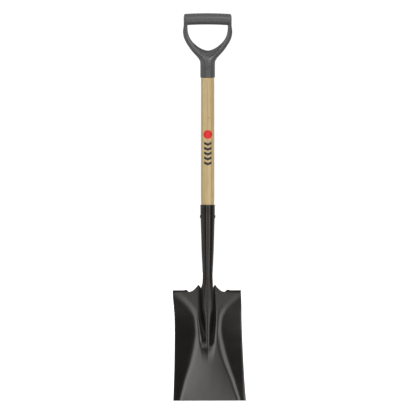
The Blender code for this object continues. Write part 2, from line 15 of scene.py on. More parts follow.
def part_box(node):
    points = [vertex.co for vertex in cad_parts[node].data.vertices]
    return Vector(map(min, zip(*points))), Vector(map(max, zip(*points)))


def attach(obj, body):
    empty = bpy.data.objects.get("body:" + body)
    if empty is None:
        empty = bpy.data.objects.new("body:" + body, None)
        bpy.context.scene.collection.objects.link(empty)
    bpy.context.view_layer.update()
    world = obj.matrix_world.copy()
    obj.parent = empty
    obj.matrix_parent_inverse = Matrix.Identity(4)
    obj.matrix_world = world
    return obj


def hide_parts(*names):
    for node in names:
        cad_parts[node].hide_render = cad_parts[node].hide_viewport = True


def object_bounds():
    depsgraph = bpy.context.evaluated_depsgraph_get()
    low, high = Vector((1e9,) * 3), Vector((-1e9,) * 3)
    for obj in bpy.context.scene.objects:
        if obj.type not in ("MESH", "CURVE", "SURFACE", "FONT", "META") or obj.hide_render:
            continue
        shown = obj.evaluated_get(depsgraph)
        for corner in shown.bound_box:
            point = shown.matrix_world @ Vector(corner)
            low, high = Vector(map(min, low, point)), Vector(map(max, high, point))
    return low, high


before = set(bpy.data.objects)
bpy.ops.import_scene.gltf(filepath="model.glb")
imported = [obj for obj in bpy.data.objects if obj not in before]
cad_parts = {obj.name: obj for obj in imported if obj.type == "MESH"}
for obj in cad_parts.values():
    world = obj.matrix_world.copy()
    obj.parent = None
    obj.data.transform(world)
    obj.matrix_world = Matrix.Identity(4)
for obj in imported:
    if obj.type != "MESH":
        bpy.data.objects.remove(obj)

CAD_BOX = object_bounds()
BLADE_LOW, BLADE_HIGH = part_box("blade")
SHAFT_LOW, SHAFT_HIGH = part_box("shaft")
GRIP_LOW, GRIP_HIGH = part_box("grip")
SOCKET_RIVET_LOW, SOCKET_RIVET_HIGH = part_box("socket_rivet")
GRIP_RIVET_LOW, GRIP_RIVET_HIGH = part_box("grip_rivet")

# Places from the frame
AXIS_Y = (SHAFT_LOW.y + SHAFT_HIGH.y) / 2
SOCKET_RIM_Z = BLADE_HIGH.z
FERRULE_Z = GRIP_LOW.z
TOP_Z = GRIP_HIGH.z
SOCKET_RIVET_Z = (SOCKET_RIVET_LOW.z + SOCKET_RIVET_HIGH.z) / 2
GRIP_RIVET_Z = (GRIP_RIVET_LOW.z + GRIP_RIVET_HIGH.z) / 2

# Shared by several pieces
GAP = 0.0003  # air between them
SIDEWAYS = (1.0, 0.0, 0.0)
FRONT_TO_BACK = (0.0, 1.0, 0.0)

# Blade
SHEET = 0.0018
LIFT = math.radians(10.5)
BOW = 0.008  # how far the middle of the blade's length is pressed back
PLATE_DISH = (  # (height, curvature across the blade, 1/m)
    (0.000, 0.3),
    (0.050, 1.0),
    (0.100, 1.5),
    (0.160, 1.0),
    (0.240, 0.0),
)
BLANK_HALF_WIDTH = (  # (height, half width)
    (0.000, 0.0971),
    (0.034, 0.0957),
    (0.076, 0.0945),
    (0.118, 0.0938),
    (0.160, 0.0931),
    (0.212, 0.0925),
    (0.240, 0.0923),
    (0.285, 0.0904),
)
WING_ANGLE = math.radians(22.0)
WING_RELAX = 0.5  # curvature with which the wings bend back again, 1/m
WING_CREASE = (  # (height, distance of the crease from the middle)
    (0.000, 0.0785),
    (0.054, 0.0648),
    (0.110, 0.0459),
    (0.145, 0.0362),
    (0.185, 0.0301),
    (0.217, 0.0326),
    (0.236, 0.0400),
    (0.249, 0.0500),
    (0.262, 0.0630),
    (0.286, 0.0900),
)
WING_BEND_RADIUS = (  # (height, radius of the crease)
    (0.000, 0.040),
    (0.060, 0.060),
    (0.117, 0.075),
    (0.200, 0.060),
    (0.236, 0.080),
    (0.262, 0.110),
    (0.286, 0.140),
)
NOTCH_Z = 0.294
PEAK_Z = 0.304
DIP_X = 0.0435
DIP_Z = 0.2860
DIP_POWER = 1.6  # how quickly the edge falls from the peak to the dip
STEP_INNER_X = 0.0451  # the step starts to turn here
STEP_FULL_X = 0.0608  # and is a right angle from here out
STEP_FOLD_Z = 0.2848
STEP_FOLD_RADIUS = 0.003
STEP_REACH = 0.008  # flat part of the tread
STEP_LEAN = math.atan(math.tan(LIFT) - 4 * BOW / STEP_FOLD_Z)  # lean of the bowed blade at the fold
EDGE_LEAN = math.atan(math.tan(LIFT) + 4 * BOW / STEP_FOLD_Z)  # and at its cutting edge
EDGE_Z = SHEET / 2 * math.sin(EDGE_LEAN)  # middle of the sheet there
RIDGE_HEIGHT = (  # (height above the cutting edge, rise of the crest over the plate)
    (0.092, 0.0000),
    (0.106, 0.0003),
    (0.118, 0.0009),
    (0.131, 0.0021),
    (0.144, 0.0043),
    (0.157, 0.0071),
    (0.170, 0.0102),
    (0.185, 0.0136),
    (0.211, 0.0189),
    (0.250, 0.0258),
    (0.294, 0.0321),
    (0.304, 0.0327),
)
RIDGE_SECTION_REACH = 0.031  # the section runs from the crest to here on the blank
CAP_ANGLE = math.radians(16)  # the crest is flatter up to this slope
CAP_RADIUS = (  # (height, radius of the flatter arc at the crest)
    (0.137, 0.0080),
    (0.150, 0.0130),
    (0.185, 0.0140),
    (0.211, 0.0180),
    (0.250, 0.0350),
    (0.294, 0.0250),
)
SHOULDER_RADIUS = (  # (height, radius of the tighter arc beside it)
    (0.137, 0.0025),
    (0.164, 0.0038),
    (0.211, 0.0060),
    (0.250, 0.0065),
    (0.294, 0.0085),
)
FOOT_RADIUS = (  # (height, radius of the arc that meets the plate)
    (0.106, 0.020),
    (0.131, 0.040),
    (0.144, 0.045),
    (0.157, 0.030),
    (0.170, 0.030),
    (0.185, 0.026),
    (0.211, 0.018),
    (0.260, 0.008),
    (0.294, 0.006),
)
FOOT_X = (  # (height, distance from the middle where that arc ends)
    (0.106, 0.0150),
    (0.120, 0.0180),
    (0.134, 0.0215),
    (0.149, 0.0245),
    (0.164, 0.0262),
    (0.185, 0.0283),
    (0.211, 0.0290),
    (0.250, 0.0265),
    (0.294, 0.0240),
)
NOTCH_SHARE = 0.631  # share of the section's length from the crest to the notch
PEAK_SHARE = 0.831  # and to the peak
FLAT_SHARE = 0.910  # a little past the foot
SOCKET_CLOSED_Z = 0.345
ROLL_START = 0.008  # the strap starts to curl this far below the notch
SEAM_ANGLE = math.radians(178.3)  # where the rolled edges end, measured from the front
SOCKET_RADIUS = (  # (height, outer radius)
    (0.290, 0.0134),
    (0.325, 0.0132),
    (0.343, 0.0137),
    (0.369, 0.0149),
    (0.395, 0.0161),
    (0.421, 0.0168),
    (0.460, 0.0179),
    (0.490, 0.0189),
    (0.5085, 0.0190),
    (0.5130, 0.01965),
)
EDGE_ROUND = 0.0004  # rounding of the sheet's cut edges under its coating
CUT_EDGE_ANGLE = math.radians(60)  # edges sharper than this are rounded

# Shaft
SOCKET_PLAY = 0.0005  # air between the wood and the socket's inside
SHAFT_RADIUS_LOW = 0.0177
SHAFT_RADIUS_HIGH = 0.0174
SHAFT_LEAVES_SOCKET_Z = 0.530
SHAFT_TAPER_Z = (0.350, 0.511)  # the wood follows the socket between these heights
SHAFT_SEAT_RADIUS = 0.01685  # largest radius inside the socket
SHAFT_FOOT_RADIUS = 0.0085
SHAFT_FOOT_CHAMFER = 0.003
TENON_RADIUS = 0.0152
TENON_CHAMFER = 0.0012

# Grip
FERRULE_RADIUS = 0.0192
FERRULE_EDGE = 0.0025
BORE_TOP_Z = 0.900
GRIP_BODY_TOP_Z = 1.000
GRIP_HALF_WIDTH = (  # (height, half width over both arms)
    (0.880, 0.0192),
    (0.888, 0.0196),
    (0.896, 0.0233),
    (0.904, 0.0300),
    (0.915, 0.0402),
    (0.930, 0.0512),
    (0.943, 0.0590),
    (0.956, 0.0637),
    (0.967, 0.0650),
    (0.985, 0.0631),
    (1.000, 0.0618),
)
GRIP_HALF_DEPTH = (  # (height, half depth, front to back)
    (0.880, 0.0192),
    (0.892, 0.0182),
    (0.910, 0.0145),
    (0.932, 0.0125),
    (1.000, 0.0125),
)
GRIP_SQUARENESS = ((0.880, 2.0), (0.905, 2.6), (0.940, 3.4))  # power of the section, 2 is an ellipse
GRIP_BAR_RADIUS = 0.0150
GRIP_BAR_HALF_LENGTH = 0.0620
GRIP_BAR_ROUND_END = 0.003
GRIP_BAR_ARCH = 0.0020  # how far the bar's ends lie under its middle
GRIP_WINDOW = (  # (x, z) along the outline
    (0.0542, 0.9970),
    (0.0542, 0.9830),
    (0.0536, 0.9700),
    (0.0512, 0.9590),
    (0.0455, 0.9470),
    (0.0350, 0.9350),
    (0.0190, 0.9235),
    (0.0000, 0.9180),
)
# The crescent pockets lie between these two lines of (x, z) points
POCKET_LOWER = ((0.0385, 0.9345), (0.0265, 0.9185), (0.0125, 0.9050), (0.0000, 0.9003))
POCKET_UPPER = ((0.0385, 0.9345), (0.0270, 0.9255), (0.0140, 0.9178), (0.0000, 0.9150))
POCKET_FLOOR = 0.0080  # from the middle plane
BAR_FILLET = 0.0025
WINDOW_ROUND = 0.0035
POCKET_ROUND = 0.0010
POCKET_FILLET = 0.0015

# Rivets
RIVET_RADIUS = 0.0025
RIVET_HEAD_RADIUS = 0.0045
RIVET_HEAD_HEIGHT = 0.0011
RIVET_CROWN_RADIUS = 0.0022  # flat middle of a head
RIVET_SET_MARK = ((0.0, 0.0006), (0.0012, 0.0005), (0.0018, 0.0001))  # (radius, depth) from the crown
RIVET_RIM_SHARE = 0.2  # share of the head's height at its rim
RECESS_RADIUS = 0.0056
RECESS_DEPTH = 0.0016
RECESS_ROUND = 0.0004

# Fineness
CURVE_STEPS = 8
COLUMN_SPACING = 0.0018  # where the blade is flat
RIDGE_COLUMNS = 30
FOOT_COLUMNS = 9
FLAT_COLUMNS = 4
STEP_TURN_COLUMNS = 16
BLADE_ROWS = 150
SOCKET_ROWS = 90
FOLD_STEPS = 8
EDGE_SEGMENTS = 3
TAPER_STEPS = 40
RIVET_DOME_POINTS = 8
ROUND_SIDES = 96
HOLE_SIDES = 32
MERGE_DISTANCE = 0.00002  # points closer than this become one
CREASE_ANGLE = math.radians(40)  # turned pieces are shaded smooth over flatter edges than this
GRIP_CELL = 0.00075  # spacing of the field that the grip's surface is read from
GRIP_MARGIN_CELLS = 4
GRIP_FIELD_LIMIT = 0.02  # the field isn't needed further away than this
SURFACE_PASSES = 3
LEAST_SLOPE_SQUARED = 0.25  # keeps a step short where the field is nearly level


# ---------------------------------------------------------------- shape tools


def along(stations, place):
    """Value at a place on a smooth curve through (place, value) stations, level past both ends."""
    places = [p for p, _ in stations]
    values = [v for _, v in stations]
    if place <= places[0]:
        return values[0]
    if place >= places[-1]:
        return values[-1]
    stretches = range(len(places) - 1)
    slopes = [(values[i + 1] - values[i]) / (places[i + 1] - places[i]) for i in stretches]
    tangents = [slopes[0]]
    for before, after in zip(slopes, slopes[1:]):
        tangents.append(0.0 if before * after <= 0 else 2 * before * after / (before + after))
    tangents.append(slopes[-1])
    i = max(k for k in stretches if places[k] <= place)
    span = places[i + 1] - places[i]
    t = (place - places[i]) / span
    return (
        values[i] * (1 + 2 * t) * (1 - t) ** 2
        + tangents[i] * span * t * (1 - t) ** 2
        + values[i + 1] * t * t * (3 - 2 * t)
        + tangents[i + 1] * span * t * t * (t - 1)
    )


def smoothed(points, steps):
    """Points on a Catmull-Rom curve through (x, z) points; an end on the middle line is level there."""
    p = [Vector(q) for q in points]
    before = 2 * p[0] - p[1]
    after = Vector((-p[-2].x, p[-2].y)) if p[-1].x == 0 else 2 * p[-1] - p[-2]
    p = [before] + p + [after]
    out = []
    for a, b, c, d in zip(p, p[1:], p[2:], p[3:]):
        for k in range(steps):
            t = k / steps
            square = 2 * a - 5 * b + 4 * c - d
            cube = 3 * b - a - 3 * c + d
            out.append(0.5 * (2 * b + (c - a) * t + square * t * t + cube * t**3))
    return out + [p[-2]]


def ease(t):
    """0 below 0, 1 above 1, smooth between."""
    t = min(max(t, 0.0), 1.0)
    return t * t * (3 - 2 * t)


def spread(low, high, steps):
    """Evenly spaced values after low, up to and with high."""
    return [low + (high - low) * i / steps for i in range(1, steps + 1)]


def new_piece(name, mesh, mat, replaces):
    """Adds a piece to the scene, in place of a CAD node."""
    ob = bpy.data.objects.new(name, mesh)
    bpy.context.scene.collection.objects.link(ob)
    mesh.materials.append(mat)
    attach(ob, "root")
    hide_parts(replaces)
    return ob


def mesh_from(name, bm):
    """Turns a bmesh into a smooth-shaded mesh."""
    mesh = bpy.data.meshes.new(name)
    bm.to_mesh(mesh)
    bm.free()
    mesh.shade_smooth()
    return mesh


def settle(ob):
    """Applies a piece's modifiers."""
    bpy.context.view_layer.update()
    graph = bpy.context.evaluated_depsgraph_get()
    mesh = bpy.data.meshes.new_from_object(ob.evaluated_get(graph))
    ob.modifiers.clear()
    ob.data = mesh


def drill(ob, centre, axis, half_length):
    """Cuts a rivet's hole through a piece."""
    bm = bmesh.new()
    radius = RIVET_RADIUS + GAP
    size = {"radius1": radius, "radius2": radius, "depth": 2 * half_length}
    bmesh.ops.create_cone(bm, cap_ends=True, segments=HOLE_SIDES, **size)
    turn = Vector((0.0, 0.0, 1.0)).rotation_difference(Vector(axis)).to_matrix()
    bmesh.ops.rotate(bm, matrix=turn, verts=bm.verts)
    bmesh.ops.translate(bm, vec=centre, verts=bm.verts)
    tool = bpy.data.objects.new("drill", mesh_from("drill", bm))
    bpy.context.scene.collection.objects.link(tool)
    cut = ob.modifiers.new("hole", "BOOLEAN")
    cut.object = tool
    cut.operation = "DIFFERENCE"
    cut.solver = "EXACT"
    settle(ob)
    bpy.data.objects.remove(tool)


# ---------------------------------------------------------------- blade


def walk(path, go):
    """Where a point is, a distance along a path of (length, curvature) stretches that sets out level."""
    across = up = angle = 0.0
    for length, bend in path:
        step = min(go, length)
        half = step * bend / 2
        chord = step * math.sin(half) / half if half else step
        across += chord * math.cos(angle + half)
        up += chord * math.sin(angle + half)
        angle += 2 * half
        go -= step
    return across, up


def plate_y(z):
    """The middle of the blade at height z, without its ridge."""
    t = z / STEP_FOLD_Z
    return math.tan(LIFT) * z + 4 * BOW * t * (1 - t)


def wing_bend(s, z):
    """Where a point s from the middle of the flat blank ends up: its X and how far forward it is bent."""
    dish = along(PLATE_DISH, z)
    radius = along(WING_BEND_RADIUS, z)
    start = along(WING_CREASE, z) - radius * WING_ANGLE / 2
    turn = WING_ANGLE - start * dish
    return walk(((start, dish), (radius * turn, 1 / radius), (s, -WING_RELAX)), s)


def ridge_section(share, z):
    """Point of the half section at a share of its length: its distance from the middle and its rise.

    The section is a flat arc, a tighter shoulder, a straight wall, a foot arc and then the plate.
    Where the wall is no steeper than the flat arc's end, there is no shoulder.
    """
    height = along(RIDGE_HEIGHT, z)
    cap = along(CAP_RADIUS, z)
    foot = along(FOOT_RADIUS, z)
    foot_x = along(FOOT_X, z)
    for shoulder in (cap, along(SHOULDER_RADIUS, z)):
        both = shoulder + foot
        across = foot_x - (cap - shoulder) * math.sin(CAP_ANGLE)
        down = height - cap + (cap - shoulder) * math.cos(CAP_ANGLE) - foot
        span = math.hypot(across, down)
        lean = math.asin(min(both / span, 1.0)) + math.atan2(down, across)
        if lean < CAP_ANGLE:
            break
    top = min(CAP_ANGLE, lean)
    path = [(cap * top, -1 / cap), (shoulder * (lean - top), -1 / shoulder)]
    path += [(math.sqrt(span * span - both * both), 0.0), (foot * lean, 1 / foot)]
    path += [(RIDGE_SECTION_REACH - foot_x, 0.0)]
    x, up = walk(path, share * sum(length for length, _ in path))
    return x, height + up


def blade_point(share, s, z):
    """Mid-surface point of the blade on its +X side; share is used up to the section's reach, then s."""
    rise = 0.0
    if share < 1.0:
        s, rise = ridge_section(share, z)
    x, forward = wing_bend(s, z)
    return Vector((x, plate_y(z) - rise - forward, z))


def socket_point(t, z):
    """Mid-surface point of the strap that is rolled into the socket; t runs from the front to its edge."""
    radius = along(SOCKET_RADIUS, z) - SHEET / 2
    angle = SEAM_ANGLE * t
    rolled = Vector((radius * math.sin(angle), AXIS_Y - radius * math.cos(angle), z))
    pressed = blade_point(t * NOTCH_SHARE, 0.0, z)
    return pressed.lerp(rolled, ease((z - NOTCH_Z + ROLL_START) / (SOCKET_CLOSED_Z - NOTCH_Z)))


def top_of_column(share, s):
    """Height of the blade's top edge: notch beside the socket, peak, dip, then the fold of the step."""
    if share <= NOTCH_SHARE:
        return NOTCH_Z
    if share <= PEAK_SHARE:
        return NOTCH_Z + (PEAK_Z - NOTCH_Z) * (share - NOTCH_SHARE) / (PEAK_SHARE - NOTCH_SHARE)
    if share < 1.0:
        s = ridge_section(share, PEAK_Z)[0]
    peak_x = ridge_section(PEAK_SHARE, PEAK_Z)[0]
    if s < DIP_X:
        return DIP_Z + (PEAK_Z - DIP_Z) * ((DIP_X - s) / (DIP_X - peak_x)) ** DIP_POWER
    return DIP_Z if s <= STEP_INNER_X else STEP_FOLD_Z


def blade_columns():
    """(share, s) of each column of the +X half, from the crest out."""
    shares = [0.0] + spread(0.0, NOTCH_SHARE, RIDGE_COLUMNS)
    shares += spread(NOTCH_SHARE, PEAK_SHARE, FOOT_COLUMNS)
    shares += spread(PEAK_SHARE, FLAT_SHARE, FLAT_COLUMNS)
    flat = [RIDGE_SECTION_REACH]
    to_step = round((STEP_INNER_X - RIDGE_SECTION_REACH) / COLUMN_SPACING)
    flat += spread(RIDGE_SECTION_REACH, STEP_INNER_X, to_step)
    flat += spread(STEP_INNER_X, STEP_FULL_X, STEP_TURN_COLUMNS)
    outer = BLANK_HALF_WIDTH[-1][1]
    flat += spread(STEP_FULL_X, outer, round((outer - STEP_FULL_X) / COLUMN_SPACING))
    return [(share, 0.0) for share in shares] + [(1.0, s) for s in flat]


def fold_points(share, s):
    """The step at one column: the sheet turns forward, by a right angle where it is full, then runs on."""
    start = blade_point(share, s, STEP_FOLD_Z)
    up = Vector((0.0, math.sin(STEP_LEAN), math.cos(STEP_LEAN)))
    front = Vector((0.0, -math.cos(STEP_LEAN), math.sin(STEP_LEAN)))
    full = ease((s - STEP_INNER_X) / (STEP_FULL_X - STEP_INNER_X))
    turn = math.pi / 2 * full
    points = []
    for a in spread(0.0, turn, FOLD_STEPS):
        points.append(start + STEP_FOLD_RADIUS * (math.sin(a) * up + (1 - math.cos(a)) * front))
    onwards = math.cos(turn) * up + math.sin(turn) * front
    end = points[-1]
    tread = spread(0.0, STEP_REACH * full, round(STEP_REACH / COLUMN_SPACING))
    return points + [end + reach * onwards for reach in tread]


def column_points(share, s, follows_side):
    """Mid-surface points up one column: blade, then the socket's strap or the step where it has one."""
    points = []
    for z in [EDGE_Z] + spread(EDGE_Z, top_of_column(share, s), BLADE_ROWS):
        points.append(blade_point(share, along(BLANK_HALF_WIDTH, z) if follows_side else s, z))
    if share <= NOTCH_SHARE:
        for z in spread(NOTCH_Z, SOCKET_RIM_Z, SOCKET_ROWS):
            points.append(socket_point(share / NOTCH_SHARE, z))
    if s > STEP_INNER_X:
        points += fold_points(share, s)
    return points


def make_blade(mat):
    """The blade, steps, ridge and socket: one half as a grid of columns, then mirrored and thickened."""
    bm = bmesh.new()
    columns = blade_columns()
    grid = []
    for share, s in columns:
        points = column_points(share, s, follows_side=s == columns[-1][1])
        grid.append([bm.verts.new(point) for point in points])
    for inner, outer in zip(grid, grid[1:]):
        for row in range(min(len(inner), len(outer)) - 1):
            bm.faces.new((inner[row], outer[row], outer[row + 1], inner[row + 1]))
        for row in range(len(inner) - 1, len(outer) - 1):
            bm.faces.new((inner[-1], outer[row], outer[row + 1]))
    ob = new_piece("blade_sheet", mesh_from("blade_sheet", bm), mat, "blade")
    mirror = ob.modifiers.new("both_halves", "MIRROR")
    mirror.merge_threshold = MERGE_DISTANCE
    wall = ob.modifiers.new("sheet", "SOLIDIFY")
    wall.thickness = SHEET
    wall.offset = 0.0
    wall.use_even_offset = True
    edge = ob.modifiers.new("cut_edges", "BEVEL")
    edge.width = EDGE_ROUND
    edge.segments = EDGE_SEGMENTS
    edge.limit_method = "ANGLE"
    edge.angle_limit = CUT_EDGE_ANGLE
    settle(ob)
    drill(ob, (0.0, AXIS_Y, SOCKET_RIVET_Z), SIDEWAYS, SOCKET_RIVET_HIGH.x)


# ---------------------------------------------------------------- turned pieces


def turned(name, profile, mat, replaces):
    """A solid of revolution about Z, from (radius, z) points that run from the top down to the bottom."""
    bm = bmesh.new()
    verts = [bm.verts.new((r, 0.0, z)) for r, z in profile]
    for a, b in zip(verts, verts[1:]):
        bm.edges.new((a, b))
    ob = new_piece(name, mesh_from(name, bm), mat, replaces)
    screw = ob.modifiers.new("turn", "SCREW")
    screw.steps = screw.render_steps = ROUND_SIDES
    screw.use_merge_vertices = True
    screw.merge_threshold = MERGE_DISTANCE
    screw.use_smooth_shade = True
    settle(ob)
    return ob


def sharpen(ob):
    """Keeps a piece's real edges crisp where it is shaded smooth."""
    ob.data.set_sharp_from_angle(angle=CREASE_ANGLE)


def make_shaft(mat):
    """The shaft, from its tenon down to its foot inside the socket, with both rivet holes."""
    tenon_top = SHAFT_HIGH.z
    shoulder = FERRULE_Z - GAP
    profile = [(0.0, tenon_top), (TENON_RADIUS - TENON_CHAMFER, tenon_top)]
    profile += [(TENON_RADIUS, tenon_top - TENON_CHAMFER), (TENON_RADIUS, shoulder)]
    profile += [(SHAFT_RADIUS_HIGH, shoulder), (SHAFT_RADIUS_LOW, SHAFT_LEAVES_SOCKET_Z)]
    low, high = SHAFT_TAPER_Z
    for z in [high] + spread(high, low, TAPER_STEPS):
        profile.append((min(along(SOCKET_RADIUS, z) - SHEET - SOCKET_PLAY, SHAFT_SEAT_RADIUS), z))
    foot = SHAFT_LOW.z
    profile += [(SHAFT_FOOT_RADIUS, foot + SHAFT_FOOT_CHAMFER)]
    profile += [(SHAFT_FOOT_RADIUS - SHAFT_FOOT_CHAMFER, foot), (0.0, foot)]
    ob = turned("ash_shaft", profile, mat, "shaft")
    ob.data.transform(Matrix.Translation((0.0, AXIS_Y, 0.0)))
    drill(ob, (0.0, AXIS_Y, SOCKET_RIVET_Z), SIDEWAYS, 2 * FERRULE_RADIUS)
    drill(ob, (0.0, AXIS_Y, GRIP_RIVET_Z), FRONT_TO_BACK, 2 * FERRULE_RADIUS)
    sharpen(ob)


def make_rivet(name, low, high, axis, mat, replaces):
    """A rivet between the ends of its CAD node; its heads are domed, with a shallow set mark."""
    half = max(high - low) / 2
    under = half - RIVET_HEAD_HEIGHT
    profile = [(radius, half - depth) for radius, depth in RIVET_SET_MARK]
    for k in range(RIVET_DOME_POINTS):
        a = math.pi / 2 * k / (RIVET_DOME_POINTS - 1)
        radius = RIVET_CROWN_RADIUS + (RIVET_HEAD_RADIUS - RIVET_CROWN_RADIUS) * math.sin(a)
        share = RIVET_RIM_SHARE + (1 - RIVET_RIM_SHARE) * math.cos(a)
        profile.append((radius, under + RIVET_HEAD_HEIGHT * share))
    profile += [(RIVET_HEAD_RADIUS, under), (RIVET_RADIUS, under)]
    profile += [(r, -z) for r, z in reversed(profile)]
    ob = turned(name, profile, mat, replaces)
    turn = Vector((0.0, 0.0, 1.0)).rotation_difference(Vector(axis)).to_matrix().to_4x4()
    ob.data.transform(Matrix.Translation((low + high) / 2) @ turn)
    sharpen(ob)


# ---------------------------------------------------------------- grip


def round_cut(a, b, radius):
    """Where both solids are, with their shared edge rounded."""
    corner = np.hypot(np.maximum(a + radius, 0.0), np.maximum(b + radius, 0.0))
    return np.minimum(np.maximum(a, b), -radius) + corner


def round_join(a, b, radius):
    """Both solids together, with a fillet where they meet."""
    corner = np.hypot(np.maximum(radius - a, 0.0), np.maximum(radius - b, 0.0))
    return np.maximum(np.minimum(a, b), radius) - corner


def outline_distance(outline, x, z):
    """Signed distance in the XZ plane from a closed outline, negative inside it."""
    nearest = np.full(x.shape, np.inf)
    inside = np.zeros(x.shape, bool)
    for a, b in zip(outline, outline[1:] + outline[:1]):
        ex, ez = b[0] - a[0], b[1] - a[1]
        wx, wz = x - a[0], z - a[1]
        t = np.clip((wx * ex + wz * ez) / (ex * ex + ez * ez), 0.0, 1.0)
        nearest = np.minimum(nearest, np.hypot(wx - t * ex, wz - t * ez))
        crosses = (a[1] > z) != (b[1] > z)
        if ez:
            inside ^= crosses & (wx < ex * wz / ez)
    return np.where(inside, -nearest, nearest)


def mirrored(points):
    """The same (x, z) points on the other side of the middle line."""
    return [Vector((-p.x, p.y)) for p in points]


def window_outline():
    """Closed outline of the hand opening."""
    half = smoothed(GRIP_WINDOW, CURVE_STEPS)
    return half + mirrored(half[-2::-1])


def pocket_outline():
    """Closed outline of the crescent pocket under the hand opening."""
    lower = smoothed(POCKET_LOWER, CURVE_STEPS)
    upper = smoothed(POCKET_UPPER, CURVE_STEPS)
    return lower + mirrored(lower[-2::-1]) + mirrored(upper[1:]) + upper[-2:0:-1]


def by_height(stations, z):
    """Values of a station curve at the levels of a grid."""
    return np.array([along(stations, height) for height in z[0, 0, :]])


def body_field(x, y, z):
    """Rough distance from the arms, web and ferrule before they are cut, from horizontal sections."""
    power = by_height(GRIP_SQUARENESS, z)
    across = (np.abs(x) / by_height(GRIP_HALF_WIDTH, z)) ** power
    deep = (np.abs(y) / by_height(GRIP_HALF_DEPTH, z)) ** power
    level = (across + deep) ** (1 / power) - 1
    slope = np.gradient(level, GRIP_CELL)
    steepness = np.sqrt(sum(g * g for g in slope))
    return np.clip(level / np.maximum(steepness, 1.0), -GRIP_FIELD_LIMIT, GRIP_FIELD_LIMIT)


def bar_field(x, y, z):
    """Distance from the hand bar, which is round, slightly arched and rounded at its ends."""
    middle_z = TOP_Z - GRIP_BAR_RADIUS - GRIP_BAR_ARCH * (x / GRIP_BAR_HALF_LENGTH) ** 2
    from_side = np.hypot(y, z - middle_z) - GRIP_BAR_RADIUS
    from_end = np.abs(x) - GRIP_BAR_HALF_LENGTH
    return round_cut(from_side, from_end, GRIP_BAR_ROUND_END)


def grip_field(x, y, z):
    """Distance from the grip's surface over a grid, negative inside; y is from the shaft's axis."""
    grip = body_field(x, y, z)
    flat_x, flat_z = x[:, 0, :], z[:, 0, :]
    window = outline_distance(window_outline(), flat_x, flat_z)[:, None, :]
    grip = round_cut(grip, -window, WINDOW_ROUND)
    pocket = outline_distance(pocket_outline(), flat_x, flat_z)[:, None, :]
    pocket = round_cut(pocket, POCKET_FLOOR - np.abs(y), POCKET_FILLET)
    grip = round_cut(grip, -pocket, POCKET_ROUND)
    grip = np.maximum(grip, z - GRIP_BODY_TOP_Z)
    grip = round_cut(grip, FERRULE_Z - z, FERRULE_EDGE)
    grip = round_join(grip, bar_field(x, y, z), BAR_FILLET)

    from_rivet = np.hypot(x, z - GRIP_RIVET_Z)
    recess = np.maximum(from_rivet - RECESS_RADIUS, FERRULE_RADIUS - RECESS_DEPTH - np.abs(y))
    grip = round_cut(grip, -recess, RECESS_ROUND)
    grip = np.maximum(grip, RIVET_RADIUS + GAP - from_rivet)
    bore = np.maximum(np.hypot(x, y) - TENON_RADIUS - GAP, z - BORE_TOP_Z)
    return np.maximum(grip, -bore)


def sample(field, points, origin, cell):
    """Value of a gridded field at points, linear between its nodes."""
    at = (points - origin) / cell
    base = np.clip(np.floor(at).astype(int), 0, np.array(field.shape) - 2)
    t = at - base
    total = np.zeros(len(points))
    for dx in (0, 1):
        for dy in (0, 1):
            for dz in (0, 1):
                share = np.abs(1 - dx - t[:, 0]) * np.abs(1 - dy - t[:, 1]) * np.abs(1 - dz - t[:, 2])
                total += share * field[base[:, 0] + dx, base[:, 1] + dy, base[:, 2] + dz]
    return total


def crossed_cells(field):
    """The cells that a field's zero surface crosses, and the mean of its crossings of each one's edges."""
    shape = tuple(n - 1 for n in field.shape)
    total = np.zeros(shape + (3,))
    count = np.zeros(shape)

    def corner(offset):
        """The field at one corner of every cell."""
        return field[tuple(slice(o, o + n) for o, n in zip(offset, shape))]

    for axis in range(3):
        for first in (0, 1):
            for second in (0, 1):
                start = [first, second]
                start.insert(axis, 0)
                end = list(start)
                end[axis] = 1
                low, high = corner(start), corner(end)
                cross = (low < 0) != (high < 0)
                t = np.where(cross, low / np.where(cross, low - high, 1.0), 0.0)
                count += cross
                for a in range(3):
                    total[..., a] += t if a == axis else cross * start[a]
    cells = np.argwhere(count > 0)
    here = tuple(cells.T)
    return cells, total[here] / count[here][:, None]


def pulled_in(points, field, origin, cell):
    """Points moved along a field's slope until they lie on its zero surface."""
    slopes = np.gradient(field, cell)
    for _ in range(SURFACE_PASSES):
        value = sample(field, points, origin, cell)
        slope = np.stack([sample(s, points, origin, cell) for s in slopes], axis=1)
        step = value / np.maximum((slope * slope).sum(axis=1), LEAST_SLOPE_SQUARED)
        points = points - np.clip(step[:, None] * slope, -cell / 3, cell / 3)
    return points


def crossing_faces(field, cells):
    """A face round each grid edge that the surface crosses, between the points of its four cells."""
    index = np.full(tuple(n - 1 for n in field.shape), -1)
    index[tuple(cells.T)] = np.arange(len(cells))
    inside = field < 0
    faces = []
    for axis in range(3):
        u, v = (axis + 1) % 3, (axis + 2) % 3
        low = np.take(inside, range(inside.shape[axis] - 1), axis)
        high = np.take(inside, range(1, inside.shape[axis]), axis)
        edges = np.argwhere(low != high)
        edges = edges[(edges[:, u] > 0) & (edges[:, v] > 0)]
        step_u, step_v = np.eye(3, dtype=int)[u], np.eye(3, dtype=int)[v]
        around = [edges, edges - step_u, edges - step_u - step_v, edges - step_v]
        quads = np.stack([index[tuple(c.T)] for c in around], axis=1)
        faces_back = ~low[tuple(edges.T)]
        quads[faces_back] = quads[faces_back, ::-1]
        faces.append(quads)
    return np.concatenate(faces)


def field_surface(name, field, origin, cell):
    """Mesh of a field's zero surface: one point in each cell that it crosses, then moved onto it."""
    cells, within = crossed_cells(field)
    points = pulled_in((cells + within) * cell + origin, field, origin, cell)
    mesh = bpy.data.meshes.new(name)
    mesh.from_pydata(points.tolist(), [], crossing_faces(field, cells).tolist())
    mesh.shade_smooth()
    return mesh


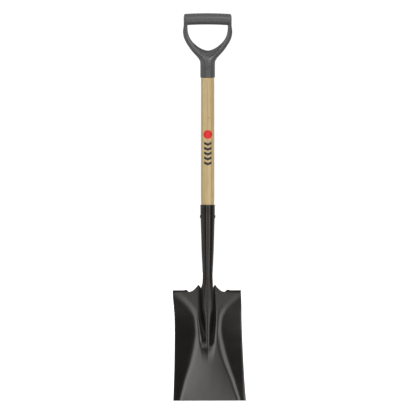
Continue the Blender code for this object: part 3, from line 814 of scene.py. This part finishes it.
def make_grip(mat):
    """The grip, as the surface of its field over a grid that reaches a little past its CAD box."""
    margin = GRIP_MARGIN_CELLS * GRIP_CELL
    low = np.array(GRIP_LOW) - margin
    high = np.array(GRIP_HIGH) + margin
    ranges = [np.arange(a, b + GRIP_CELL, GRIP_CELL) for a, b in zip(low, high)]
    x, y, z = np.meshgrid(*ranges, indexing="ij")
    field = grip_field(x, y - AXIS_Y, z)
    mesh = field_surface("hand_grip", field, low, GRIP_CELL)
    new_piece("hand_grip", mesh, mat, "grip")


# ---------------------------------------------------------------- finishes


NOISE_RANGE = (0.3, 0.7)  # most of a noise lies in this range

# Coating
COATING_COLOURS = ((0.30, (0.0080, 0.0077, 0.0074)), (0.75, (0.0125, 0.0119, 0.0112)))
COATING_ROUGHNESS = (0.13, 0.18)
COATING_FINE_ROUGHNESS = (-0.015, 0.02)
HAZE_NOISE = {"scale": 14.0, "detail": 4.0}
FINE_NOISE = {"scale": 420.0, "detail": 2.0}
PEEL_NOISE = {"scale": 650.0, "detail": 1.5}
PRESS_WAVE_NOISE = {"scale": 22.0, "detail": 1.0}
DULL_RISES_Z = (0.180, 0.272)  # the coating grows duller between these heights
DULL_FALLS_Z = (0.290, 0.370)  # and glossy again between these
DULL_UNEVEN = 0.010  # how far those heights wander
DULL_ROUGHNESS = 0.24  # added where it is dullest
PEEL_HEIGHT = 0.000012
PRESS_WAVE_HEIGHT = 0.00035

# Wood
WOOD_BANDS = ((0.0, (0.620, 0.485, 0.220)), (0.70, (0.585, 0.445, 0.192)), (1.0, (0.470, 0.340, 0.130)))
BAND_STRETCH = (1.0, 1.0, 0.012)  # the rings change slowly along the shaft
BAND_SHIFT = (0.021, 0.034, 0.0)  # the rings' centre lies well off the shaft's axis
BAND_WAVE = {"Scale": 62.0, "Distortion": 2.6, "Detail": 2.0, "Detail Scale": 18.0}
WOOD_LAYERS = {  # (noise scale on each axis, detail, roughness, noise range, largest share, colour)
    "streak": ((420.0, 420.0, 6.0), 3.0, 0.6, (0.35, 0.65), 0.60, (0.420, 0.305, 0.125)),
    "pale": ((170.0, 170.0, 1.6), 2.0, 0.5, (0.38, 0.60), 0.55, (0.760, 0.615, 0.380)),
    "warm": ((12.0, 12.0, 2.2), 2.0, 0.5, (0.35, 0.65), 0.22, (0.630, 0.440, 0.260)),
    "pore": ((1500.0, 1500.0, 38.0), 2.0, 0.5, (0.60, 0.72), 0.55, (0.220, 0.130, 0.060)),
}
WOOD_ROUGHNESS = (0.36, 0.50)
WOOD_COAT = 0.40
WOOD_COAT_ROUGHNESS = 0.20
WOOD_RELIEF_HEIGHT = 0.00005
STREAK_RELIEF = 0.4  # the streaks' share of the relief
FLECK_Z = 0.741
FLECK_HALF_WIDTH = 0.0042
FLECK_HALF_HEIGHT = 0.0022
FLECK_EDGE = (0.2, 1.0)  # it fades out between these squares of its radius
FLECK_SHARE = 0.7
FLECK_COLOUR = (0.300, 0.180, 0.120)

# Printed mark on the shaft: a plain roundel over a column of chevrons
PRINT_TURN = math.radians(-5.7)
PRINT_WEAR = (0.24, 0.30)  # the ink is worn off where the noise is low
PRINT_WEAR_STRETCH = (1.0, 1.0, 0.35)
PRINT_WEAR_NOISE = {"scale": 260.0, "detail": 4.0, "rough": 0.7}
ROUNDEL_Z = 0.6975
ROUNDEL_RADIUS = 0.0118
ROUNDEL_SOFT_EDGE = 0.0003
ROUNDEL_COLOUR = (0.800, 0.002, 0.006)
CHEVRONS_Z = (0.6165, 0.6805)
CHEVRON_HALF_WIDTH = 0.0098
CHEVRON_PITCH = 0.0128
CHEVRON_INK = 0.52  # inked share of the pitch
CHEVRON_SLOPE = 0.45
CHEVRON_COLOUR = (0.004, 0.003, 0.004)

# Plastic
PLASTIC_COLOURS = ((0.3, (0.088, 0.092, 0.098)), (0.7, (0.102, 0.106, 0.112)))
PLASTIC_ROUGHNESS = (0.18, 0.24)
PLASTIC_TONE_NOISE = {"scale": 28.0, "detail": 3.0}
SPARK_NOISE = {"scale": 1900.0, "detail": 2.0}
SPARK_HEIGHT = 0.000007
SEAM_SIDES = (0.0001, 0.0003)  # distances from the middle plane over which the parting line falls away
SEAM_HEIGHT = 0.00010

# Rivet steel
RIVET_COLOURS = ((0.3, (0.060, 0.060, 0.064)), (0.7, (0.130, 0.130, 0.135)))
RIVET_METALLIC = 0.7
RIVET_FILM_NOISE = {"scale": 700.0, "detail": 3.0}
RIVET_ROUGHNESS = (0.28, 0.45)
RIVET_FILM_HEIGHT = 0.00002


class Nodes:
    """A node tree, with short calls for the nodes that the finishes and the studio use."""

    def __init__(self, tree):
        self.tree = tree

    def feed(self, socket, value):
        """Links another node's output to a socket, or else sets the socket's own value."""
        if isinstance(value, bpy.types.NodeSocket):
            self.tree.links.new(value, socket)
        else:
            socket.default_value = value

    def node(self, kind, inputs=(), **settings):
        """A new node; its inputs are given by name or number, as values or as other nodes' outputs."""
        made = self.tree.nodes.new("ShaderNode" + kind)
        for key, value in settings.items():
            setattr(made, key, value)
        for key, value in dict(inputs).items():
            self.feed(made.inputs[key], value)
        return made

    def math(self, operation, *values):
        """Result of one operation on one or two values."""
        return self.node("Math", enumerate(values), operation=operation).outputs[0]

    def split(self, place):
        """The x, y and z of a place."""
        return self.node("SeparateXYZ", {"Vector": place}).outputs

    def mapped(self, place, scale=(1.0, 1.0, 1.0), shift=(0.0, 0.0, 0.0)):
        """A place that is scaled and then shifted."""
        inputs = {"Vector": place, "Location": shift, "Scale": scale}
        return self.node("Mapping", inputs).outputs[0]

    def noise(self, place, scale, detail, rough=0.5):
        """Soft noise from 0 to 1, mostly near the middle."""
        inputs = {"Vector": place, "Scale": scale, "Detail": detail, "Roughness": rough}
        return self.node("TexNoise", inputs).outputs["Fac"]

    def remap(self, value, span, to=(0.0, 1.0)):
        """A value carried from one range to another and held between its ends."""
        inputs = enumerate((value, *span, *to))
        return self.node("MapRange", inputs, clamp=True).outputs[0]

    def ramp(self, value, stops, interpolation="LINEAR"):
        """Colour along a line of (position, colour) stops."""
        made = self.node("ValToRGB", {"Fac": value})
        made.color_ramp.interpolation = interpolation
        elements = made.color_ramp.elements
        while len(elements) < len(stops):
            elements.new(1.0)
        for element, (at, colour) in zip(elements, stops):
            element.position = at
            element.color = (*colour, 1.0)
        return made.outputs["Color"]

    def mix(self, share, first, second):
        """Blend of two colours by the second one's share."""
        made = self.node("Mix", {0: share}, data_type="RGBA")
        sockets = [socket for socket in made.inputs if socket.type == "RGBA"]
        for socket, colour in zip(sockets, (first, second)):
            linked = isinstance(colour, bpy.types.NodeSocket)
            self.feed(socket, colour if linked else (*colour, 1.0))
        return next(socket for socket in made.outputs if socket.type == "RGBA")

    def bump(self, height, distance, after=None):
        """The surface's normals with a relief, on top of another one if that is given."""
        inputs = {"Height": height, "Distance": distance}
        if after:
            inputs["Normal"] = after
        return self.node("Bump", inputs).outputs[0]


class Finish(Nodes):
    """The node tree of a new material."""

    def __init__(self, name):
        self.mat = bpy.data.materials.new(name)
        self.mat.use_nodes = True
        super().__init__(self.mat.node_tree)
        self.shader = self.tree.nodes["Principled BSDF"]

    def place(self):
        """The point of the surface in the object's own coordinates."""
        return self.node("TexCoord").outputs["Object"]

    def set(self, key, value):
        """Gives the shader a value or another node's output."""
        self.feed(self.shader.inputs[key], value)


def coated_steel():
    """Black stoved coating on pressed steel: orange peel, press waves, haze, and duller near the steps."""
    f = Finish("black_coating")
    place = f.place()
    haze = f.noise(place, **HAZE_NOISE)
    f.set("Base Color", f.ramp(haze, COATING_COLOURS))

    uneven = f.math("ADD", f.split(place)[2], f.remap(haze, NOISE_RANGE, (-DULL_UNEVEN, DULL_UNEVEN)))
    rising = f.remap(uneven, DULL_RISES_Z)
    falling = f.remap(uneven, DULL_FALLS_Z, (1.0, 0.0))
    share = f.math("MINIMUM", rising, falling)
    dull = f.math("MULTIPLY", f.math("MULTIPLY", share, share), DULL_ROUGHNESS)
    fine = f.remap(f.noise(place, **FINE_NOISE), NOISE_RANGE, COATING_FINE_ROUGHNESS)
    rough = f.math("ADD", f.remap(haze, NOISE_RANGE, COATING_ROUGHNESS), fine)
    f.set("Roughness", f.math("ADD", rough, dull))

    waves = f.bump(f.noise(place, **PRESS_WAVE_NOISE), PRESS_WAVE_HEIGHT)
    f.set("Normal", f.bump(f.noise(place, **PEEL_NOISE), PEEL_HEIGHT, after=waves))
    return f.mat


def growth_bands(f, axis):
    """Colour of the wood's rings, which are drawn out along the shaft."""
    inputs = {"Vector": f.mapped(axis, BAND_STRETCH, BAND_SHIFT)} | BAND_WAVE
    wave = f.node("TexWave", inputs, wave_type="RINGS", rings_direction="Z", wave_profile="SAW")
    return f.ramp(wave.outputs["Fac"], WOOD_BANDS)


def with_fleck(f, wood, axis):
    """The wood with one small dark fleck on the front of the shaft."""
    x, y, z = f.split(axis)
    across = f.math("DIVIDE", x, FLECK_HALF_WIDTH)
    up = f.math("DIVIDE", f.math("SUBTRACT", z, FLECK_Z), FLECK_HALF_HEIGHT)
    from_middle = f.math("ADD", f.math("MULTIPLY", across, across), f.math("MULTIPLY", up, up))
    front = f.math("LESS_THAN", y, 0.0)
    share = f.math("MULTIPLY", f.remap(from_middle, FLECK_EDGE, (FLECK_SHARE, 0.0)), front)
    return f.mix(share, wood, FLECK_COLOUR)


def with_print(f, wood, axis):
    """The wood with a slightly worn roundel and chevrons, which are centred on a line turned to one side."""
    x, y, z = f.split(axis)
    cos, sin = math.cos(PRINT_TURN), math.sin(PRINT_TURN)
    across = f.math("ADD", f.math("MULTIPLY", x, cos), f.math("MULTIPLY", y, sin))
    towards = f.math("SUBTRACT", f.math("MULTIPLY", x, sin), f.math("MULTIPLY", y, cos))
    wear = f.noise(f.mapped(axis, PRINT_WEAR_STRETCH), **PRINT_WEAR_NOISE)
    ink_here = f.math("MULTIPLY", f.math("GREATER_THAN", towards, 0.0), f.remap(wear, PRINT_WEAR))

    up = f.math("SUBTRACT", z, ROUNDEL_Z)
    square = f.math("ADD", f.math("MULTIPLY", across, across), f.math("MULTIPLY", up, up))
    edge = (ROUNDEL_RADIUS - ROUNDEL_SOFT_EDGE, ROUNDEL_RADIUS)
    disc = f.remap(f.math("SQRT", square), edge, (1.0, 0.0))
    wood = f.mix(f.math("MULTIPLY", disc, ink_here), wood, ROUNDEL_COLOUR)

    side = f.math("ABSOLUTE", across)
    from_foot = f.math("SUBTRACT", z, CHEVRONS_Z[0])
    slanted = f.math("ADD", from_foot, f.math("MULTIPLY", side, -CHEVRON_SLOPE))
    ink = f.math("LESS_THAN", f.math("FRACT", f.math("DIVIDE", slanted, CHEVRON_PITCH)), CHEVRON_INK)
    above = f.math("GREATER_THAN", slanted, 0.0)
    below = f.math("LESS_THAN", slanted, CHEVRONS_Z[1] - CHEVRONS_Z[0])
    narrow = f.math("LESS_THAN", side, CHEVRON_HALF_WIDTH)
    chevrons = f.math("MULTIPLY", ink, f.math("MULTIPLY", above, below))
    chevrons = f.math("MULTIPLY", chevrons, f.math("MULTIPLY", narrow, ink_here))
    return f.mix(chevrons, wood, CHEVRON_COLOUR)


def ash_wood():
    """Clear-coated ash: long straight grain, growth bands, fine pores, a fleck and the printed mark."""
    f = Finish("ash_wood")
    axis = f.mapped(f.place(), shift=(0.0, -AXIS_Y, 0.0))
    wood = growth_bands(f, axis)
    noises = {}
    shares = {}
    for name, (scale, detail, rough, span, most, colour) in WOOD_LAYERS.items():
        noises[name] = f.noise(f.mapped(axis, scale), 1.0, detail, rough)
        shares[name] = f.remap(noises[name], span, (0.0, most))
        wood = f.mix(shares[name], wood, colour)
    f.set("Base Color", with_print(f, with_fleck(f, wood, axis), axis))
    f.set("Roughness", f.remap(noises["streak"], NOISE_RANGE, WOOD_ROUGHNESS))
    f.set("Coat Weight", WOOD_COAT)
    f.set("Coat Roughness", WOOD_COAT_ROUGHNESS)
    relief = f.math("SUBTRACT", f.math("MULTIPLY", noises["streak"], STREAK_RELIEF), shares["pore"])
    f.set("Normal", f.bump(relief, WOOD_RELIEF_HEIGHT))
    return f.mat


def grey_plastic():
    """Moulded dark grey plastic: satin, with a fine spark texture and a faint parting line."""
    f = Finish("grey_plastic")
    place = f.place()
    f.set("Base Color", f.ramp(f.noise(place, **PLASTIC_TONE_NOISE), PLASTIC_COLOURS))
    grain = f.noise(place, **SPARK_NOISE)
    f.set("Roughness", f.remap(grain, NOISE_RANGE, PLASTIC_ROUGHNESS))
    from_middle = f.math("ABSOLUTE", f.math("SUBTRACT", f.split(place)[1], AXIS_Y))
    seam = f.remap(from_middle, SEAM_SIDES, (1.0, 0.0))
    f.set("Normal", f.bump(seam, SEAM_HEIGHT, after=f.bump(grain, SPARK_HEIGHT)))
    return f.mat


def rivet_steel():
    """Dulled steel with a thin, uneven dark film."""
    f = Finish("rivet_steel")
    film = f.noise(f.place(), **RIVET_FILM_NOISE)
    f.set("Base Color", f.ramp(film, RIVET_COLOURS))
    f.set("Metallic", RIVET_METALLIC)
    f.set("Roughness", f.remap(film, NOISE_RANGE, RIVET_ROUGHNESS))
    f.set("Normal", f.bump(film, RIVET_FILM_HEIGHT))
    return f.mat


# ---------------------------------------------------------------- studio


CAMERA_AZIMUTH = math.radians(-7.4)
CAMERA_DISTANCE = 30.0
CAMERA_CLIP = (1.0, 100.0)
FRAME_WIDTH = 1.0910  # width of the picture at the shaft's axis
SENSOR_WIDTH = 36.0
AIM_Z = 0.5050
AIM_RIGHT_OF_AXIS = 0.00092
WHITE = (1.0, 1.0, 1.0)
BACKDROP_BRIGHTNESS = 1.05
FLOOR_HALF_SIZE = 60.0
FLOOR_DROP = 0.0002  # from the cutting edge
FLOOR_COLOUR = (0.80, 0.80, 0.80, 1.0)
FLOOR_ROUGHNESS = 0.9
FLOOR_GLOW = 0.80
ROOM_PEAK = 4.0  # brightness that the shares below are given in
ROOM_TINT = (1.0, 0.965, 0.925)
ROOM_ROUND = (  # (degrees round from the front, share of the peak)
    (-180, 0.06),
    (-130, 0.20),
    (-95, 0.36),
    (-68, 0.30),
    (-52, 0.01),
    (-33, 0.01),
    (-29, 0.30),
    (-25, 1.35),
    (-17, 1.35),
    (-13, 0.50),
    (-10, 0.08),
    (-2, 0.08),
    (3, 0.30),
    (8, 0.50),
    (15, 0.82),
    (20, 1.40),
    (28, 1.40),
    (33, 0.40),
    (37, 0.01),
    (62, 0.01),
    (76, 0.06),
    (95, 0.30),
    (130, 0.25),
    (180, 0.06),
)
ROOM_UPWARD = (  # (degrees above level, share of the peak)
    (-90, 0.05),
    (-50, 0.20),
    (-30, 0.50),
    (-15, 0.66),
    (-4, 0.60),
    (3, 0.32),
    (9, 0.22),
    (13, 0.60),
    (18, 1.35),
    (23, 1.45),
    (29, 1.40),
    (34, 1.25),
    (39, 0.70),
    (45, 0.30),
    (60, 0.08),
    (90, 0.05),
)
ROOM_DIM = (  # (degrees above level, share of the peak) that is added all round
    (-90, 0.01),
    (0, 0.02),
    (35, 0.03),
    (60, 0.12),
    (90, 0.16),
)


def make_camera():
    """A camera far off, a little to the left of the front, that looks level."""
    back = Vector((math.sin(CAMERA_AZIMUTH), -math.cos(CAMERA_AZIMUTH), 0.0))
    right = Vector((-back.y, back.x, 0.0))
    data = bpy.data.cameras.new("camera")
    data.sensor_width = SENSOR_WIDTH
    data.lens = SENSOR_WIDTH * CAMERA_DISTANCE / FRAME_WIDTH
    data.clip_start, data.clip_end = CAMERA_CLIP
    camera = bpy.data.objects.new("camera", data)
    bpy.context.scene.collection.objects.link(camera)
    aim = Vector((0.0, AXIS_Y, AIM_Z)) + AIM_RIGHT_OF_AXIS * right
    camera.location = aim + CAMERA_DISTANCE * back
    camera.rotation_mode = "QUATERNION"
    camera.rotation_quaternion = (-back).to_track_quat("-Z", "Y")
    bpy.context.scene.camera = camera


def room_level(n, angle, limit, stops):
    """Brightness by an angle from -limit to limit, smooth through (degrees, brightness) stops."""
    share = n.remap(angle, (math.radians(-limit), math.radians(limit)))
    greys = [((at + limit) / (2 * limit), (bright, bright, bright)) for at, bright in stops]
    return n.ramp(share, greys, "B_SPLINE")


def make_world():
    """A white backdrop for the camera, and for everything else a dim room with two tall soft lights.

    The lights are given by how bright the room is round the compass and how high up it is bright.
    """
    world = bpy.data.worlds.new("studio")
    bpy.context.scene.world = world
    world.use_nodes = True
    n = Nodes(world.node_tree)
    x, y, z = n.split(n.node("TexCoord").outputs["Generated"])
    compass = n.math("ARCTAN2", x, n.math("MULTIPLY", y, -1.0))
    upward = n.math("ARCSINE", z)
    boxes = room_level(n, compass, 180, ROOM_ROUND)
    height = room_level(n, upward, 90, ROOM_UPWARD)
    dim = room_level(n, upward, 90, ROOM_DIM)
    lit = n.math("ADD", n.math("MULTIPLY", boxes, height), dim)
    lit = n.math("MULTIPLY", lit, ROOM_PEAK)

    seen = n.node("LightPath").outputs["Is Camera Ray"]
    background = n.tree.nodes["Background"].inputs
    n.feed(background["Strength"], n.remap(seen, (0.0, 1.0), (lit, BACKDROP_BRIGHTNESS)))
    n.feed(background["Color"], n.mix(seen, ROOM_TINT, WHITE))


def make_floor():
    """A white floor that glows a little where it is seen, so that it meets the backdrop without a line."""
    bm = bmesh.new()
    bmesh.ops.create_grid(bm, x_segments=1, y_segments=1, size=FLOOR_HALF_SIZE)
    floor = bpy.data.objects.new("floor", mesh_from("floor", bm))
    bpy.context.scene.collection.objects.link(floor)
    floor.location = (0.0, 0.0, CAD_BOX[0].z - FLOOR_DROP)
    floor.visible_glossy = False
    f = Finish("floor")
    f.set("Base Color", FLOOR_COLOUR)
    f.set("Roughness", FLOOR_ROUGHNESS)
    f.set("Specular IOR Level", 0.0)
    f.set("Emission Color", (*WHITE, 1.0))
    seen = f.node("LightPath").outputs["Is Camera Ray"]
    f.set("Emission Strength", f.math("MULTIPLY", seen, FLOOR_GLOW))
    floor.data.materials.append(f.mat)


def main():
    """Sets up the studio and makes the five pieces."""
    make_camera()
    make_world()
    make_floor()
    bpy.context.scene.view_settings.view_transform = "Standard"

    finish = rivet_steel()
    make_blade(coated_steel())
    make_shaft(ash_wood())
    make_grip(grey_plastic())
    make_rivet("socket_rivet_set", SOCKET_RIVET_LOW, SOCKET_RIVET_HIGH, SIDEWAYS, finish, "socket_rivet")
    make_rivet("grip_rivet_set", GRIP_RIVET_LOW, GRIP_RIVET_HIGH, FRONT_TO_BACK, finish, "grip_rivet")


main()
